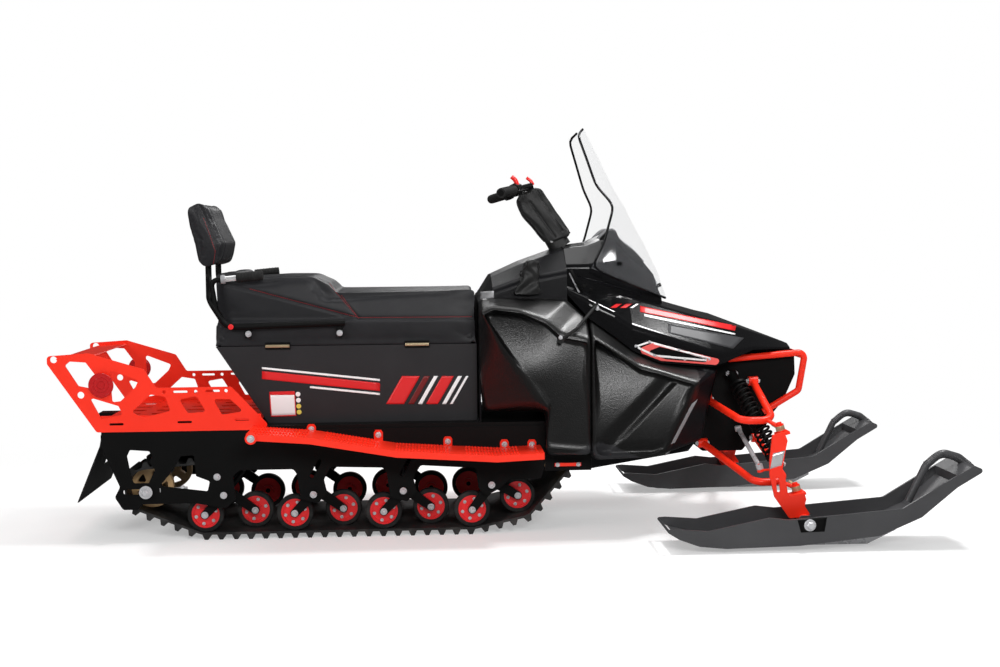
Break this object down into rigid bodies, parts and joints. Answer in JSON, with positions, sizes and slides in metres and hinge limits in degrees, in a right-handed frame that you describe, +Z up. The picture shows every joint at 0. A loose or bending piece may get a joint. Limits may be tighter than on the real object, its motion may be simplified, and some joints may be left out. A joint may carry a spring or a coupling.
{
  "type": "utility snowmobile",
  "caption": "Two-seat utility snowmobile with a wide rubber track, two steered skis, a rear rack, a seat over a cargo box and a tall windshield.",
  "frame": {"origin": "on the ground under the middle of the length, on the plane of symmetry", "axes": "+X forward, +Y to the rider's left, +Z up"},
  "size_m": [3.1961, 1.2, 1.46],
  "materials": {
    "black_metal": "satin black paint",
    "vinyl": "leatherette with red stitching",
    "gloss_black": "gloss moulding",
    "zinc_steel": "bright zinc plate",
    "orange_coat": "satin powder coat",
    "charcoal": "grained moulding",
    "matte_black": "grained moulding",
    "tan_plastic": "moulded natural nylon",
    "cast_block": "cast",
    "rubber": "moulded",
    "red_coat": "gloss powder coat",
    "ski_plastic": "slippery moulding",
    "lamp_red": "clear red lens",
    "belt_rubber": "reinforced belt",
    "wheel_plastic": "moulded red",
    "clear_sheet": "clear sheet"
  },
  "bodies": {
    "chassis": {"belly_pan": "gloss_black", "bogie_arms": "black_metal", "box_hinges": "zinc_steel", "bulkhead": "black_metal", "bumper": "orange_coat", "cargo_box": "charcoal", "console": "matte_black", "drive_shaft": "zinc_steel", "drive_sprockets": "tan_plastic", "engine_block": "cast_block", "footboards": "orange_coat", "frame_plates": "black_metal", "head_lamps": "gloss_black", "hood": "gloss_black", "hood_straps": "rubber", "hood_vents": "red_coat", "knee_panels": "charcoal", "lower_arms": "orange_coat", "mud_flap": "rubber", "rack_deck": "orange_coat", "rack_sides": "orange_coat", "rack_tail_panel": "orange_coat", "rear_axle": "zinc_steel", "rear_idlers": "tan_plastic", "shift_gaiter": "vinyl", "shock_springs": "black_metal", "shocks": "black_metal", "side_panels": "matte_black", "steering_bearing": "black_metal", "tail_lamps": "lamp_red", "tow_hitch": "black_metal", "track": "belt_rubber", "tunnel": "black_metal", "upper_arms": "orange_coat", "wheel_discs": "wheel_plastic", "wheel_tyres": "rubber", "windshield": "clear_sheet"},
    "seat_lid": {"lid_hinges": "zinc_steel", "seat_base": "matte_black", "seat_cushion": "vinyl", "backrest_pad": "vinyl", "backrest_frame": "black_metal", "grab_handles": "rubber"},
    "steering": {"steering_post": "black_metal", "handlebar": "black_metal", "hand_grips": "rubber", "hand_levers": "black_metal", "riser_cover": "matte_black"},
    "spindle_right_body": {"spindle_right": "orange_coat"},
    "spindle_left_body": {"spindle_left": "orange_coat"},
    "tie_rod_right_body": {"tie_rod_right": "zinc_steel"},
    "tie_rod_left_body": {"tie_rod_left": "zinc_steel"},
    "ski_right_body": {"ski_right": "ski_plastic", "ski_runner_right": "zinc_steel", "ski_loop_right": "matte_black"},
    "ski_left_body": {"ski_left": "ski_plastic", "ski_runner_left": "zinc_steel", "ski_loop_left": "matte_black"}
  },
  "joints": [
    {"name": "seat_lid_hinge", "type": "hinge", "parent": "chassis", "child": "seat_lid", "pos_m": [0, -0.219, 0.6845], "axis": [1, 0, 0], "range_deg": [0, 100]},
    {"name": "steering_turn", "type": "hinge", "parent": "chassis", "child": "steering", "pos_m": [0.097, 0, 1.234], "axis": [-0.5017, 0, 0.865], "range_deg": [-35, 35]},
    {"name": "spindle_right_turn", "type": "hinge", "parent": "chassis", "child": "spindle_right_body", "pos_m": [0.988, -0.46, 0.189], "axis": [-0.2651, 0, 0.9642], "range_deg": [-30, 30]},
    {"name": "tie_rod_right_turn", "type": "hinge", "parent": "spindle_right_body", "child": "tie_rod_right_body", "pos_m": [0.866, -0.436, 0.262], "axis": [-0.2651, 0, 0.9642], "range_deg": [-30, 30]},
    {"name": "ski_right_pitch", "type": "hinge", "parent": "spindle_right_body", "child": "ski_right_body", "pos_m": [1.004, -0.5, 0.088], "axis": [0, 1, 0], "range_deg": [-18, 12], "stiffness_Nm_per_rad": 60},
    {"name": "spindle_left_turn", "type": "hinge", "parent": "chassis", "child": "spindle_left_body", "pos_m": [0.988, 0.46, 0.189], "axis": [-0.2651, 0, 0.9642], "range_deg": [-30, 30]},
    {"name": "tie_rod_left_turn", "type": "hinge", "parent": "spindle_left_body", "child": "tie_rod_left_body", "pos_m": [0.866, 0.436, 0.262], "axis": [-0.2651, 0, 0.9642], "range_deg": [-30, 30]},
    {"name": "ski_left_pitch", "type": "hinge", "parent": "spindle_left_body", "child": "ski_left_body", "pos_m": [1.004, 0.5, 0.088], "axis": [0, 1, 0], "range_deg": [-18, 12], "stiffness_Nm_per_rad": 60}
  ],
  "couplings": [
    {"joint": "spindle_right_turn", "follows": "steering_turn", "ratio": 0.8563},
    {"joint": "tie_rod_right_turn", "follows": "steering_turn", "ratio": -0.8563},
    {"joint": "spindle_left_turn", "follows": "steering_turn", "ratio": 0.8563},
    {"joint": "tie_rod_left_turn", "follows": "steering_turn", "ratio": -0.8563}
  ]
}
